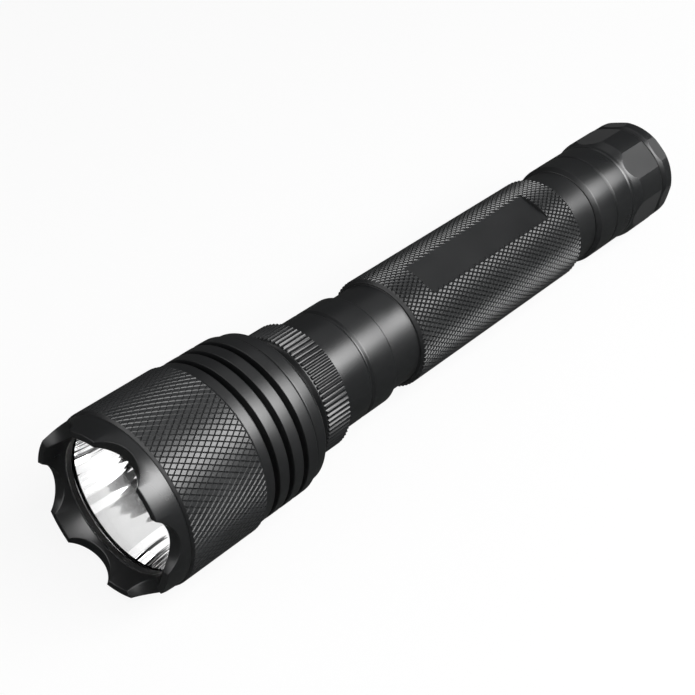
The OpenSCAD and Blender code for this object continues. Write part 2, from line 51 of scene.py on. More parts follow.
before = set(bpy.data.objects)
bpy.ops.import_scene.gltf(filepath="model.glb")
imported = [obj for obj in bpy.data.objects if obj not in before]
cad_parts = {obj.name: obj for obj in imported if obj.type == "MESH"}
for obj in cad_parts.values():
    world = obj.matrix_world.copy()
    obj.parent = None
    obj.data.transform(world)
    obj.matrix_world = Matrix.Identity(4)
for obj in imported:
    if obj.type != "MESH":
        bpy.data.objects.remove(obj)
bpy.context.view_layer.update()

MM = 0.001
TAIL_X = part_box("tail_cap")[1][0] / MM
AXIS_HEIGHT = sum(corner[2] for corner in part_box("head_shell")) / 2 / MM
SEAT_GAP = 0.1
SLIDE_GAP = 0.05
SHARP_ANGLE = 30


def span(node):
    """Where a node starts and ends along the axis, in millimetres from the tail plane."""
    low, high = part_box(node)
    return TAIL_X - high[0] / MM, TAIL_X - low[0] / MM


def radius_of(node):
    """A node's outer radius in millimetres."""
    low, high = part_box(node)
    return (high[1] - low[1]) / 2 / MM


def place(z, r, turn):
    """A point on the light in metres, from its station, radius and angle about the axis."""
    return (
        (TAIL_X - z) * MM,
        r * math.sin(turn) * MM,
        (AXIS_HEIGHT + r * math.cos(turn)) * MM,
    )


def linear(hex_colour):
    """An sRGB hex colour as a linear RGBA tuple."""
    def channel(i):
        c = int(hex_colour[i:i + 2], 16) / 255
        return c / 12.92 if c <= 0.04045 else ((c + 0.055) / 1.055) ** 2.4
    return (channel(1), channel(3), channel(5), 1.0)


# ---- sizes and colours

def length(name, description, millimetres):
    return FloatProperty(
        name=name, description=description, default=millimetres * MM,
        min=0.0, unit="LENGTH", subtype="DISTANCE", precision=5,
    )


def colour(name, description, hex_colour):
    return FloatVectorProperty(
        name=name, description=description, default=linear(hex_colour),
        size=4, min=0.0, max=1.0, subtype="COLOR",
    )


def count(name, description, number):
    return IntProperty(name=name, description=description, default=number, min=1)


def share(name, description, fraction):
    return FloatProperty(name=name, description=description, default=fraction, min=0.05, max=0.95)


def angle(name, description, degrees):
    return FloatProperty(name=name, description=description, default=math.radians(degrees),
                         subtype="ANGLE")


class FlashlightTube(PropertyGroup):
    """Body tube, its knurled grip and its milled panel."""
    grip_radius: length("Grip radius", "Radius over the grip's crests", 14.0)
    grip_length: length("Grip length", "Length of the knurled grip", 65.8)
    seat_radius: length("Seat radius", "Radius of the turned seats beside the grip", 12.7)
    rear_seat: length("Rear seat", "Length of the seat behind the grip", 8.5)
    thread_radius: length("Thread radius", "Radius over the threads' crests", 11.6)
    thread_pitch: length("Thread pitch", "Pitch of the tube's threads", 1.5)
    bore_radius: length("Bore radius", "Radius of the cell bore", 9.1)
    diamonds: count("Diamonds", "Knurl diamonds around the grip", 70)
    diamond_length: length("Diamond length", "Length of one knurl diamond", 2.03)
    knurl_depth: length("Knurl depth", "Depth of the diamond knurl", 0.3)
    crest_share: share("Crest share", "Flat share of a diamond", 0.58)
    panel_depth: length("Panel depth", "Depth of the milled panel", 0.97)
    panel_length: length("Panel length", "Length of the milled panel", 46.9)
    panel_offset: length("Panel offset", "Grip left behind the panel", 9.6)
    panel_turn: angle("Panel turn", "Turn of the panel about the axis", -19)


class FlashlightHead(PropertyGroup):
    """Head shell with its fins and its knurled band."""
    radius: length("Head radius", "Radius over the knurled band", 20.0)
    knurl_length: length("Knurl length", "Length of the knurled band", 20.9)
    diamonds: count("Diamonds", "Knurl diamonds around the head", 90)
    diamond_length: length("Diamond length", "Length of one knurl diamond", 2.2)
    knurl_depth: length("Knurl depth", "Depth of the diamond knurl", 0.15)
    crest_share: share("Crest share", "Flat share of a diamond", 0.74)
    fin_radius: length("Fin radius", "Radius of the cooling fins", 19.4)
    rear_fin: length("Rear fin", "Width of the rear fin", 3.2)
    groove_width: length("Groove width", "Width of a fin groove", 1.5)
    groove_depth: length("Groove depth", "Depth of a fin groove", 2.2)
    groove_pitch: length("Groove pitch", "Distance between fin grooves", 4.3)
    grooves: count("Grooves", "Number of fin grooves", 3)
    rear_radius: length("Rear radius", "Radius of the head's rear edge", 17.4)
    collar_length: length("Collar length", "Length of the plain collar at the rear", 4.6)


class FlashlightBezel(PropertyGroup):
    """Scalloped bezel ring."""
    base_radius: length("Base radius", "Radius at the bezel's base", 19.6)
    tooth_radius: length("Tooth radius", "Radius over the tooth tips", 19.3)
    skirt_radius: length("Skirt radius", "Radius over the skirt's thread", 18.0)
    opening_radius: length("Opening radius", "Clear opening in front of the lens", 15.9)
    rim: length("Rim", "Thickness of a tooth at its tip", 1.6)
    base_height: length("Base height", "Height of the base below the scallops", 1.5)
    teeth: count("Teeth", "Number of teeth", 6)
    tooth_turn: angle("Tooth turn", "Turn of the first tooth", 8)
    scallop_radius: length("Scallop radius", "Radius of a scallop", 7.3)
    scallop_depth: length("Scallop depth", "Depth of a scallop", 3.4)
    thread_pitch: length("Thread pitch", "Pitch of the skirt's thread", 1.0)


class FlashlightTail(PropertyGroup):
    """Tail cap with its wrench flats."""
    nut_radius: length("Nut radius", "Radius of the nut band's corners", 14.5)
    flat_apothem: length("Flat apothem", "Distance from the axis to a flat", 13.9)
    collar_apothem: length("Collar apothem", "Distance from the axis to a collar flat", 14.0)
    cap_radius: length("Cap radius", "Radius of the smooth part", 13.8)
    collar_height: length("Collar height", "Height of the end collar", 4.6)
    nut_top: length("Nut top", "Height at which the nut band ends", 15.5)
    nut_taper: length("Nut taper", "Height of the taper above the nut band", 3.0)
    flat_turn: angle("Flat turn", "Turn of the first flat", 18)
    hole_radius: length("Hole radius", "Radius of the button's hole", 6.5)


class FlashlightRing(PropertyGroup):
    """Neck sleeve and the selector ring that turns on it."""
    ridges: count("Ridges", "Ridges around the selector ring", 82)
    ridge_depth: length("Ridge depth", "Depth of the straight knurl", 0.37)
    lip_length: length("Lip length", "Length of the smooth lip in front of the ridges", 2.6)
    neck_radius: length("Neck radius", "Radius of the neck sleeve", 13.8)
    spigot_radius: length("Spigot radius", "Radius that the ring turns on", 13.0)
    groove_at: length("Groove place", "Distance of the neck's groove from its rear", 7.5)
    groove_width: length("Groove width", "Width of the neck's groove", 1.7)
    groove_depth: length("Groove depth", "Depth of the neck's groove", 0.4)


class FlashlightFinish(PropertyGroup):
    """Colours of the finishes."""
    anodise: colour("Anodise", "Black dyed oxide on aluminium", "#141516")
    worn_anodise: colour("Worn anodise", "The same oxide rubbed thin on crests", "#2a2b2c")
    rubber: colour("Rubber", "Black moulded silicone", "#161616")
    brass: colour("Brass", "Turned brass", "#c9a35a")
    steel: colour("Steel", "Nickel plated spring steel", "#c6c8ca")
    floor: colour("Floor", "Pale matt floor", "#dcdcdc")


# ---- shapes

class TurnedMesh:
    """Rings of points around the axis, joined by bands into one closed turned shape."""

    def __init__(self, columns, start=0.0):
        self.columns = columns
        self.start = start
        self.points = []
        self.faces = []
        self.worn = set()
        self.first = None
        self.last = None

    def turn(self, column):
        return self.start + 2 * math.pi * column / self.columns

    def add_ring(self, points, joined=True):
        """Adds one ring of points and joins it to the ring before."""
        index = len(self.points)
        self.points += points
        if self.first is None:
            self.first = index
        elif joined:
            self.band(self.last, index)
        self.last = index
        return index

    def ring(self, z, r, joined=True):
        """Adds a ring at one station; r is a radius, or a function of the column."""
        return self.add_ring([
            place(z, r(column) if callable(r) else r, self.turn(column))
            for column in range(self.columns)
        ], joined)

    def band(self, a, b):
        n = self.columns
        for i in range(n):
            j = (i + 1) % n
            self.faces.append((a + i, a + j, b + j, b + i))

    def section(self, points):
        for r, z in points:
            self.ring(z, r)

    def close(self):
        self.band(self.last, self.first)

    def caps(self):
        """Fills the first and the last ring with one face each."""
        for ring in (self.first, self.last):
            self.faces.append(tuple(range(ring, ring + self.columns)))

    def knurl(self, z0, z1, crest, depth, diamond_length, flat):
        """A diamond knurl: pyramids with flat crests between crossing grooves.

        flat is the crest's share of a diamond, from 0 for sharp points to 1 for no grooves."""
        rows = 2 * max(1, round((z1 - z0) / diamond_length))
        step = (z1 - z0) / rows
        valley = crest - depth
        corner = {}

        def add(m, k, radius):
            self.points.append(place(z0 + k * step, radius, self.turn(m)))
            return len(self.points) - 1

        start = self.ring(z0, valley)
        for m in range(self.columns):
            corner[m, 0] = start + m
        for k in range(1, rows):
            for m in range(self.columns):
                if (m + k) % 2 == 0:
                    corner[m, k] = add(m, k, valley)
        end = self.ring(z1, valley, joined=False)
        for m in range(self.columns):
            corner[m, rows] = end + m
        inset = 0.5 * (1 - flat)
        for k in range(rows + 1):
            for m in range(self.columns):
                if (m + k) % 2 == 0:
                    continue
                left, right = corner[(m - 1) % self.columns, k], corner[(m + 1) % self.columns, k]
                if k in (0, rows):
                    way = 1 if k == 0 else -1
                    far, foot = corner[m, k + way], corner[m, k]
                    half = flat - inset
                    a = add(m - half, k + way * inset, crest)
                    b = add(m + half, k + way * inset, crest)
                    tip = add(m, k + way * flat, crest)
                    self.faces += [(left, foot, right, b, a), (right, far, tip, b),
                                   (far, left, a, tip)]
                    self.worn.add(len(self.faces))
                    self.faces.append((a, b, tip))
                    continue
                around = (left, corner[m, k - 1], right, corner[m, k + 1])
                top = [add(m + dm, k + dk, crest)
                       for dm, dk in ((-flat, 0), (0, -flat), (flat, 0), (0, flat))]
                for side in range(4):
                    nxt = (side + 1) % 4
                    self.faces.append((around[side], around[nxt], top[nxt], top[side]))
                self.worn.add(len(self.faces))
                self.faces.append(tuple(top))

    def ridges(self, z0, z1, crest, depth):
        """A straight knurl: eight columns to a ridge, with a narrow crest and sloping flanks."""
        lead = 0.2
        valley = crest - depth
        heights = (1, 1, 2 / 3, 1 / 3, 0, 0, 1 / 3, 2 / 3)
        ridge = lambda column: valley + depth * heights[column % 8]
        self.ring(z0, valley)
        self.ring(z0 + lead, ridge)
        self.ring(z1 - lead, ridge)
        self.ring(z1, valley)

    def thread(self, z0, z1, crest, pitch):
        """A right-handed thread that fades out at both ends."""
        depth = 0.5 * pitch
        rings_per_turn = 8
        steep, foot = 2.2, 0.6
        steps = max(rings_per_turn, round((z1 - z0) / pitch * rings_per_turn))
        for i in range(steps + 1):
            z = z0 + (z1 - z0) * i / steps
            fade = min(1.0, (z - z0) / pitch, (z1 - z) / pitch)

            def wall(column, z=z, fade=fade):
                phase = (z / pitch - self.turn(column) / (2 * math.pi)) % 1.0
                tooth = min(1.0, max(0.0, steep * (1 - abs(2 * phase - 1)) - foot))
                return crest - depth * fade * (1 - tooth)
            self.ring(z, wall)


def rounded(points, radius=0.25, steps=6):
    """The outline with each corner replaced by a small arc; points are (radius, station)."""
    out = [points[0]]
    most_of_side, least_cut = 0.45, 0.02
    for before, (r, z), after in zip(points, points[1:], points[2:]):
        back = math.hypot(before[0] - r, before[1] - z)
        ahead = math.hypot(after[0] - r, after[1] - z)
        cut = min(radius, most_of_side * back, most_of_side * ahead)
        if cut < least_cut:
            out.append((r, z))
            continue
        p = (r + (before[0] - r) * cut / back, z + (before[1] - z) * cut / back)
        q = (r + (after[0] - r) * cut / ahead, z + (after[1] - z) * cut / ahead)
        for k in range(steps + 1):
            t = k / steps
            out.append(tuple(
                (1 - t) ** 2 * p[a] + 2 * t * (1 - t) * (r, z)[a] + t * t * q[a] for a in (0, 1)
            ))
    return out + [points[-1]]


def mesh_piece(name, shape, sharp=SHARP_ANGLE):
    """A Blender object from a turned shape, with outward faces and crisp edges kept."""
    mesh = bpy.data.meshes.new(name)
    mesh.from_pydata(shape.points, [], shape.faces)
    worn = mesh.attributes.new("worn", "FLOAT", "FACE")
    for index in shape.worn:
        worn.data[index].value = 1.0
    face_outward(mesh)
    piece = link_object(name, mesh)
    shade(piece, sharp)
    return piece


def face_outward(mesh):
    work = bmesh.new()
    work.from_mesh(mesh)
    bmesh.ops.recalc_face_normals(work, faces=work.faces)
    work.to_mesh(mesh)
    work.free()


def link_object(name, data):
    """A new object in the scene."""
    item = bpy.data.objects.new(name, data)
    bpy.context.scene.collection.objects.link(item)
    return item


def shade(piece, sharp=SHARP_ANGLE):
    for polygon in piece.data.polygons:
        polygon.use_smooth = True
    piece.data.set_sharp_from_angle(angle=math.radians(sharp))


def turned_piece(name, outline, columns=144, radius=0.25, sharp=SHARP_ANGLE):
    shape = TurnedMesh(columns)
    shape.section(rounded(outline, radius))
    shape.close()
    return mesh_piece(name, shape, sharp)


def combine(piece, tool, operation, sharp=SHARP_ANGLE):
    """Cuts or intersects a piece with a tool object, then removes the tool."""
    modifier = piece.modifiers.new("combine", "BOOLEAN")
    modifier.operation = operation
    modifier.solver = "MANIFOLD"
    modifier.object = tool
    result = bpy.data.meshes.new_from_object(
        piece.evaluated_get(bpy.context.evaluated_depsgraph_get())
    )
    if not result.polygons:
        raise RuntimeError(f"{piece.name}: {operation} left nothing")
    piece.modifiers.clear()
    piece.data = result
    bpy.data.objects.remove(tool)
    shade(piece, sharp)


def block(z0, z1, r0, r1, half_width, turn):
    """A box tool between two stations and two radii, turned about the axis."""
    corners = []
    for z in (z0, z1):
        for radial in (r0, r1):
            for across in (-half_width, half_width):
                angle = turn + math.atan2(across, radial)
                corners.append(place(z, math.hypot(radial, across), angle))
    faces = [(0, 1, 3, 2), (4, 6, 7, 5), (0, 4, 5, 1), (2, 3, 7, 6), (0, 2, 6, 4), (1, 5, 7, 3)]
    return tool_object(corners, faces)


def prism(z0, z1, apothem, sides, turn):
    """A regular prism tool around the axis with the given distance to its flats."""
    r = apothem / math.cos(math.pi / sides)
    points = [
        place(z, r, turn + (k + 0.5) * 2 * math.pi / sides) for z in (z0, z1) for k in range(sides)
    ]
    faces = [tuple(range(sides)), tuple(range(2 * sides - 1, sides - 1, -1))]
    for k in range(sides):
        n = (k + 1) % sides
        faces.append((k, k + sides, n + sides, n))
    return tool_object(points, faces)


def tool_object(points, faces):
    mesh = bpy.data.meshes.new("tool")
    mesh.from_pydata(points, [], faces)
    face_outward(mesh)
    return link_object("tool", mesh)


def fit(piece, material, body, slot, *nodes):
    """Gives a piece its finish, its body and the nodes that it stands for."""
    piece.data.materials.clear()
    piece.data.materials.append(material)
    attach(piece, body)
    if nodes:
        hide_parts(*nodes)


def mill_flats(piece, apothem):
    """Gives the faces that lie flat at one distance from the axis the milled finish."""
    piece.data.materials.append(milled_anodise())
    near = 0.01
    for polygon in piece.data.polygons:
        offset = polygon.center - Vector((0, 0, AXIS_HEIGHT * MM))
        distance = offset.dot(polygon.normal) / MM
        if abs(polygon.normal.x) < near and abs(distance - apothem) < near:
            polygon.material_index = 1


def finish_node(node, material):
    """Gives a frame node its material."""
    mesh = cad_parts[node].data
    mesh.materials.clear()
    mesh.materials.append(material)


# ---- materials

def add_node(tree, kind, settings=None, **links):
    """Adds one node; settings fill its fields and sockets, links join its inputs."""
    node = tree.nodes.new(kind)
    for key, value in (settings or {}).items():
        if isinstance(key, int) or key in node.inputs:
            node.inputs[key].default_value = value
        else:
            setattr(node, key, value)
    for key, source in links.items():
        name = int(key[1:]) if key[1:].isdigit() else key.replace("_", " ")
        tree.links.new(source, node.inputs[name])
    return node


def new_material(name):
    if name in bpy.data.materials:
        return bpy.data.materials[name], None, None
    material = bpy.data.materials.new(name)
    material.use_nodes = True
    tree = material.node_tree
    return material, tree, tree.nodes["Principled BSDF"]


def join(tree, shader, tint, shine, bump):
    """Joins a finish's colour, roughness and bump to its shader."""
    tree.links.new(tint.outputs[2], shader.inputs["Base Color"])
    tree.links.new(shine.outputs["Result"], shader.inputs["Roughness"])
    tree.links.new(bump.outputs["Normal"], shader.inputs["Normal"])


def noise(tree, vector, size_mm, detail, roughness=0.5):
    """Noise with features of about the given size in millimetres."""
    return add_node(tree, "ShaderNodeTexNoise",
                    {"Scale": 1 / (size_mm * MM), "Detail": detail, "Roughness": roughness},
                    Vector=vector).outputs["Fac"]


def object_space(tree):
    return add_node(tree, "ShaderNodeTexCoord").outputs["Object"]


def blend_colours(tree, first, second, share_of_second):
    mix = add_node(tree, "ShaderNodeMix", {"data_type": "RGBA"}, i0=share_of_second)
    mix.inputs[6].default_value = first
    mix.inputs[7].default_value = second
    return mix


def finishes():
    return bpy.context.scene.flashlight_finish


def anodised_aluminium(name, grain_mm, grain_height, roughness):
    """Black hard anodised aluminium: a dyed oxide layer over metal, satin and slightly cloudy.

    The oxide reflects like a ceramic (index near 1.7), so broad lights show as soft pale bands."""
    material, tree, shader = new_material(name)
    if tree is None:
        return material
    finish = finishes()
    space = object_space(tree)
    # Tool marks run around the axis, so they change fast along X and hardly across it.
    stretch = add_node(tree, "ShaderNodeMapping", {"Scale": (1.0, 0.06, 0.06)}, Vector=space)
    marks = noise(tree, stretch.outputs["Vector"], grain_mm, 3.0, 0.6)
    # The etched skin under the oxide is a fine matt grain; the dye is cloudy over some 14 mm.
    skin = noise(tree, space, 0.25, 2.0)
    cloud = noise(tree, space, 14, 2.0)
    worn = add_node(tree, "ShaderNodeAttribute", {"attribute_name": "worn"})
    patch = add_node(tree, "ShaderNodeMath", {"operation": "MULTIPLY"},
                     i0=worn.outputs["Fac"], i1=cloud)
    tint = blend_colours(tree, finish.anodise[:], finish.worn_anodise[:], patch.outputs[0])
    shine = add_node(tree, "ShaderNodeMapRange",
                     {"From Min": 0.3, "From Max": 0.7, "To Min": roughness - 0.04,
                      "To Max": roughness + 0.05}, Value=cloud)
    both = add_node(tree, "ShaderNodeMath", {"operation": "MULTIPLY_ADD", 1: 0.35},
                    i0=skin, i2=marks)
    bump = add_node(tree, "ShaderNodeBump", {"Strength": 0.35, "Distance": grain_height * MM},
                    Height=both.outputs[0])
    join(tree, shader, tint, shine, bump)
    shader.inputs["IOR"].default_value = 1.7
    return material


def turned_anodise():
    return anodised_aluminium("turned_black_anodise", 0.35, 0.012, 0.31)


def knurled_anodise():
    return anodised_aluminium("knurled_black_anodise", 0.5, 0.006, 0.36)


def milled_anodise():
    """The same finish over a milled flat, which is duller than the turned surface beside it."""
    return anodised_aluminium("milled_black_anodise", 0.5, 0.02, 0.7)


def simple_finish(name, base, rough, metallic=0.0, ior=1.5, grain_mm=0.3, bump_mm=0.01, vary=0.15):
    """A moulded, turned or plated finish: its colour and shine vary a little over the piece."""
    material, tree, shader = new_material(name)
    if tree is None:
        return material
    grain = noise(tree, object_space(tree), grain_mm, 3.0)
    dark = tuple(c * (1 - vary) for c in base[:3]) + (1.0,)
    tint = blend_colours(tree, dark, base, grain)
    shine = add_node(tree, "ShaderNodeMapRange", {"To Min": rough * 0.85, "To Max": rough * 1.15},
                     Value=grain)
    bump = add_node(tree, "ShaderNodeBump", {"Strength": 0.3, "Distance": bump_mm * MM},
                    Height=grain)
    join(tree, shader, tint, shine, bump)
    shader.inputs["Metallic"].default_value = metallic
    if not metallic:
        shader.inputs["IOR"].default_value = ior
    return material


def seal_rubber():
    return simple_finish("black_seal_rubber", finishes().rubber[:], 0.45)


def turned_brass():
    return simple_finish("turned_brass", finishes().brass[:], 0.28, metallic=1.0)


def plated_steel():
    return simple_finish("nickel_plated_steel", finishes().steel[:], 0.25, metallic=1.0)


def bright_reflector():
    """Vacuum-metallised aluminium on a pressed bowl: a mirror with faint radial waves.

    The waves break what the bowl mirrors into bright and dark streaks towards its centre."""
    material, tree, shader = new_material("metallised_reflector")
    if tree is None:
        return material
    parts = add_node(tree, "ShaderNodeSeparateXYZ", {}, Vector=object_space(tree))
    height = add_node(tree, "ShaderNodeMath", {"operation": "SUBTRACT", 1: AXIS_HEIGHT * MM},
                      i0=parts.outputs["Z"])
    turn = add_node(tree, "ShaderNodeMath", {"operation": "ARCTAN2"},
                    i0=parts.outputs["Y"], i1=height.outputs[0])
    waves = add_node(tree, "ShaderNodeTexNoise",
                     {"noise_dimensions": "1D", "Scale": 3.5, "Detail": 1.0, "Roughness": 0.5},
                     W=turn.outputs[0])
    bump = add_node(tree, "ShaderNodeBump", {"Strength": 1.0, "Distance": 0.5 * MM},
                    Height=waves.outputs["Fac"])
    tree.links.new(bump.outputs["Normal"], shader.inputs["Normal"])
    shader.inputs["Base Color"].default_value = linear("#fcfcfc")
    shader.inputs["Metallic"].default_value = 1.0
    shader.inputs["Roughness"].default_value = 0.03
    return material


def coated_glass():
    """Toughened clear glass with a thin anti-glare coat: almost no tint and a weak reflection."""
    material, tree, shader = new_material("coated_clear_glass")
    if tree is None:
        return material
    shine = add_node(tree, "ShaderNodeMapRange", {"To Min": 0.0, "To Max": 0.02},
                     Value=noise(tree, object_space(tree), 9, 2.0))
    tree.links.new(shine.outputs["Result"], shader.inputs["Roughness"])
    shader.inputs["Base Color"].default_value = linear("#ffffff")
    shader.inputs["Transmission Weight"].default_value = 1.0
    shader.inputs["IOR"].default_value = 1.3
    return material


# ---- pieces

class FLASHLIGHT_OT_body_tube(Operator):
    """Build the body tube: threads, turned seats, knurled grip and milled panel"""
    bl_idname = "flashlight.body_tube"
    bl_label = "Body tube"

    def execute(self, context):
        s = context.scene.flashlight_tube
        grip, seat, crest = s.grip_radius / MM, s.seat_radius / MM, s.thread_radius / MM
        bore, depth, pitch = s.bore_radius / MM, s.knurl_depth / MM, s.thread_pitch / MM
        rear, front = span("body_tube")
        rear_shoulder = span("tail_cap")[1] + SEAT_GAP
        front_shoulder = span("neck_sleeve")[0] - SEAT_GAP
        grip_rear = rear_shoulder + s.rear_seat / MM
        grip_front = grip_rear + s.grip_length / MM
        o_ring_room = 1.35
        seat_of_ring = crest - 1.25
        chamfer = 0.5

        def relief(a, b):
            return [(crest, a), (seat_of_ring, a), (seat_of_ring, b), (crest, b)]

        shape = TurnedMesh(2 * s.diamonds)
        shape.section([(bore, rear), (crest - 0.5, rear)])
        shape.thread(rear + 0.5, rear_shoulder - 2 * o_ring_room - 0.2, crest, pitch)
        shape.section(relief(rear_shoulder - 2 * o_ring_room, rear_shoulder - o_ring_room))
        shape.section(rounded([
            (crest, rear_shoulder), (seat, rear_shoulder), (seat, grip_rear),
            (grip - chamfer - depth, grip_rear), (grip - depth, grip_rear + chamfer),
        ], 0.3))
        shape.knurl(grip_rear + chamfer, grip_front - chamfer, grip, depth, s.diamond_length / MM,
                    s.crest_share)
        shape.section(rounded([
            (grip - depth, grip_front - chamfer), (grip - chamfer - depth, grip_front),
            (seat, grip_front), (seat, front_shoulder), (crest, front_shoulder),
        ], 0.3)[1:])
        shape.section(relief(front_shoulder + o_ring_room, front_shoulder + 2 * o_ring_room))
        shape.thread(front_shoulder + 2 * o_ring_room + 0.2, front - 0.5, crest, pitch)
        shape.section([(crest - 0.5, front), (bore, front)])
        shape.close()
        tube = mesh_piece("body_tube_turned", shape)
        panel_rear = grip_rear + s.panel_offset / MM
        floor = grip - s.panel_depth / MM
        combine(tube, block(panel_rear, panel_rear + s.panel_length / MM, floor, grip + 1,
                            grip, s.panel_turn), "DIFFERENCE")
        fit(tube, knurled_anodise(), "tube", "black_anodised", "body_tube")
        for node in ("tail_o_ring", "neck_o_ring"):
            finish_node(node, seal_rubber())
        return {"FINISHED"}


class FLASHLIGHT_OT_head_shell(Operator):
    """Build the head shell: rear collar, cooling fins and knurled band"""
    bl_idname = "flashlight.head_shell"
    bl_label = "Head shell"

    def execute(self, context):
        s = context.scene.flashlight_head
        r, fin, depth = s.radius / MM, s.fin_radius / MM, s.knurl_depth / MM
        rear_r, width = s.rear_radius / MM, s.groove_width / MM
        rear, front = span("head_shell")
        bezel = context.scene.flashlight_bezel
        inner = radius_of("neck_sleeve") - 1.1
        mouth = bezel.skirt_radius / MM + SLIDE_GAP
        fins = rear + s.collar_length / MM
        groove = fins + s.rear_fin / MM
        band = front - s.knurl_length / MM
        line = 0.35
        collar = fin - 0.9
        outline = [
            (inner, rear), (rear_r - 0.9, rear), (rear_r + 0.3, rear + 0.7),
            (collar, rear + 1.6), (collar + 0.25, fins - line), (collar - 0.2, fins),
            (fin - 0.05, fins + line),
        ]
        for i in range(s.grooves):
            z = groove + i * s.groove_pitch / MM
            bottom = fin - s.groove_depth / MM
            outline += [(fin, z), (bottom, z), (bottom, z + width), (fin, z + width)]
        lead = 0.4
        outline += [(fin, band - 0.1), (r - depth, band + lead)]
        shape = TurnedMesh(2 * s.diamonds)
        shape.section(rounded(outline, 0.22))
        shape.knurl(band + lead, front - lead, r, depth, s.diamond_length / MM, s.crest_share)
        deep = front - 6
        shape.section([(r - depth - lead, front), (mouth, front), (mouth, deep), (inner + 3, deep),
                       (inner, deep - 8)])
        shape.close()
        head = mesh_piece("head_shell_turned", shape)
        fit(head, knurled_anodise(), "head", "black_anodised", "head_shell")
        return {"FINISHED"}


class FLASHLIGHT_OT_bezel_ring(Operator):
    """Build the bezel ring with its scallops, and its threaded skirt"""
    bl_idname = "flashlight.bezel_ring"
    bl_label = "Bezel ring"

    def execute(self, context):
        s = context.scene.flashlight_bezel
        rear, top = span("bezel_ring")
        base = span("head_shell")[1] + SEAT_GAP
        shoulder = base + s.base_height / MM
        lip = span("lens_seal")[1]
        opening, skirt = s.opening_radius / MM, s.skirt_radius / MM
        base_r, tooth_r = s.base_radius / MM, s.tooth_radius / MM
        lens_r = radius_of("lens") + SLIDE_GAP
        radius, depth = s.scallop_radius / MM, s.scallop_depth / MM
        cutter = top + radius - depth
        half = math.sqrt(radius ** 2 - (radius - depth) ** 2)
        mouth_edge = tooth_r - s.rim / MM
        cone = lip + 0.4
        sector = 2 * math.pi / s.teeth
        in_scallop, in_tooth = 28, 14
        per_sector = in_scallop + in_tooth

        def outer_r(z):
            return base_r + (tooth_r - base_r) * (z - shoulder) / (top - shoulder)

        def inner_r(z):
            return opening + (mouth_edge - opening) * (z - cone) / (top - cone)

        def column(i, r):
            """Angle of a column at a radius, and the height of the rim there."""
            k, c = divmod(i, per_sector)
            centre = s.tooth_turn + (k + 0.5) * sector
            edge = math.asin(half / r)
            if c <= in_scallop:
                across = half * math.sin(math.pi * (c / in_scallop - 0.5))
                return centre + math.asin(across / r), cutter - math.sqrt(radius ** 2 - across ** 2)
            share = (c - in_scallop) / in_tooth
            return centre + edge + (sector - 2 * edge) * share, top

        columns = s.teeth * per_sector
        shape = TurnedMesh(columns)

        def rim_ring(r_of, drop, inset):
            """A ring that follows the rim, dropped below it and set in from a wall."""
            points = []
            for i in range(columns):
                rim = column(i, tooth_r)[1] - drop
                r = r_of(rim) + inset
                points.append(place(rim, r, column(i, r)[0]))
            shape.add_ring(points)

        def plain_ring(r, z):
            shape.add_ring([place(z, r, column(i, r)[0]) for i in range(columns)])

        plain_ring(lens_r, rear)
        plain_ring(skirt - 0.4, rear)
        steps, fade_steps, lead, groove = 24, 4, 0.4, 0.45
        pitch = s.thread_pitch / MM
        for i in range(steps + 1):
            z = rear + lead + (base - rear - 2 * lead) * i / steps
            fade = min(1.0, i / fade_steps, (steps - i) / fade_steps)
            points = []
            for c in range(columns):
                turn = column(c, skirt)[0]
                phase = (z / pitch - turn / (2 * math.pi)) % 1.0
                points.append(place(z, skirt - groove * fade * abs(2 * phase - 1), turn))
            shape.add_ring(points)
        outside = rounded([(skirt, base - 0.2), (skirt, base), (base_r, base), (base_r, shoulder),
                           (outer_r(shoulder + 0.5), shoulder + 0.5)], 0.2)
        for r, z in outside:
            plain_ring(r, z)
        soft = 0.22
        arc = 4
        for k in range(arc + 1):
            a = math.pi / 2 * k / arc
            rim_ring(outer_r, soft * (1 - math.sin(a)), -soft * (1 - math.cos(a)))
        for k in range(arc + 1):
            a = math.pi / 2 * k / arc
            rim_ring(inner_r, soft * (1 - math.cos(a)), soft * (1 - math.sin(a)))
        for r, z in rounded([(inner_r(cone + 0.3), cone + 0.3), (opening, cone), (opening, lip),
                             (lens_r, lip)], 0.12):
            plain_ring(r, z)
        shape.close()
        bezel = mesh_piece("bezel_ring_scalloped", shape)
        fit(bezel, turned_anodise(), "bezel", "black_anodised", "bezel_ring")
        return {"FINISHED"}


class FLASHLIGHT_OT_selector_ring(Operator):
    """Build the straight-knurled selector ring and finish its stop pin and magnet"""
    bl_idname = "flashlight.selector_ring"
    bl_label = "Selector ring"

    def execute(self, context):
        s = context.scene.flashlight_ring
        rear, front = span("selector_ring")
        crest = radius_of("selector_ring")
        inner = s.spigot_radius / MM + SLIDE_GAP
        depth = s.ridge_depth / MM
        lip = s.lip_length / MM
        root = crest - depth
        shape = TurnedMesh(8 * s.ridges)
        shape.section(rounded([(inner, rear), (root - 0.1, rear), (root, rear + 0.05)], 0.1))
        shape.ridges(rear + 0.06, front - lip, crest, depth)
        shape.section(rounded([
            (root, front - lip + 0.05), (crest - 0.15, front - lip + 0.3),
            (crest - 0.9, front - lip + 1.0), (crest - 2.1, front), (inner, front),
        ], 0.3))
        shape.close()
        ring = mesh_piece("selector_ring_ridged", shape)
        fit(ring, turned_anodise(), "selector", "black_anodised", "selector_ring")
        for node in ("stop_pin", "selector_magnet"):
            finish_node(node, plated_steel())
        return {"FINISHED"}


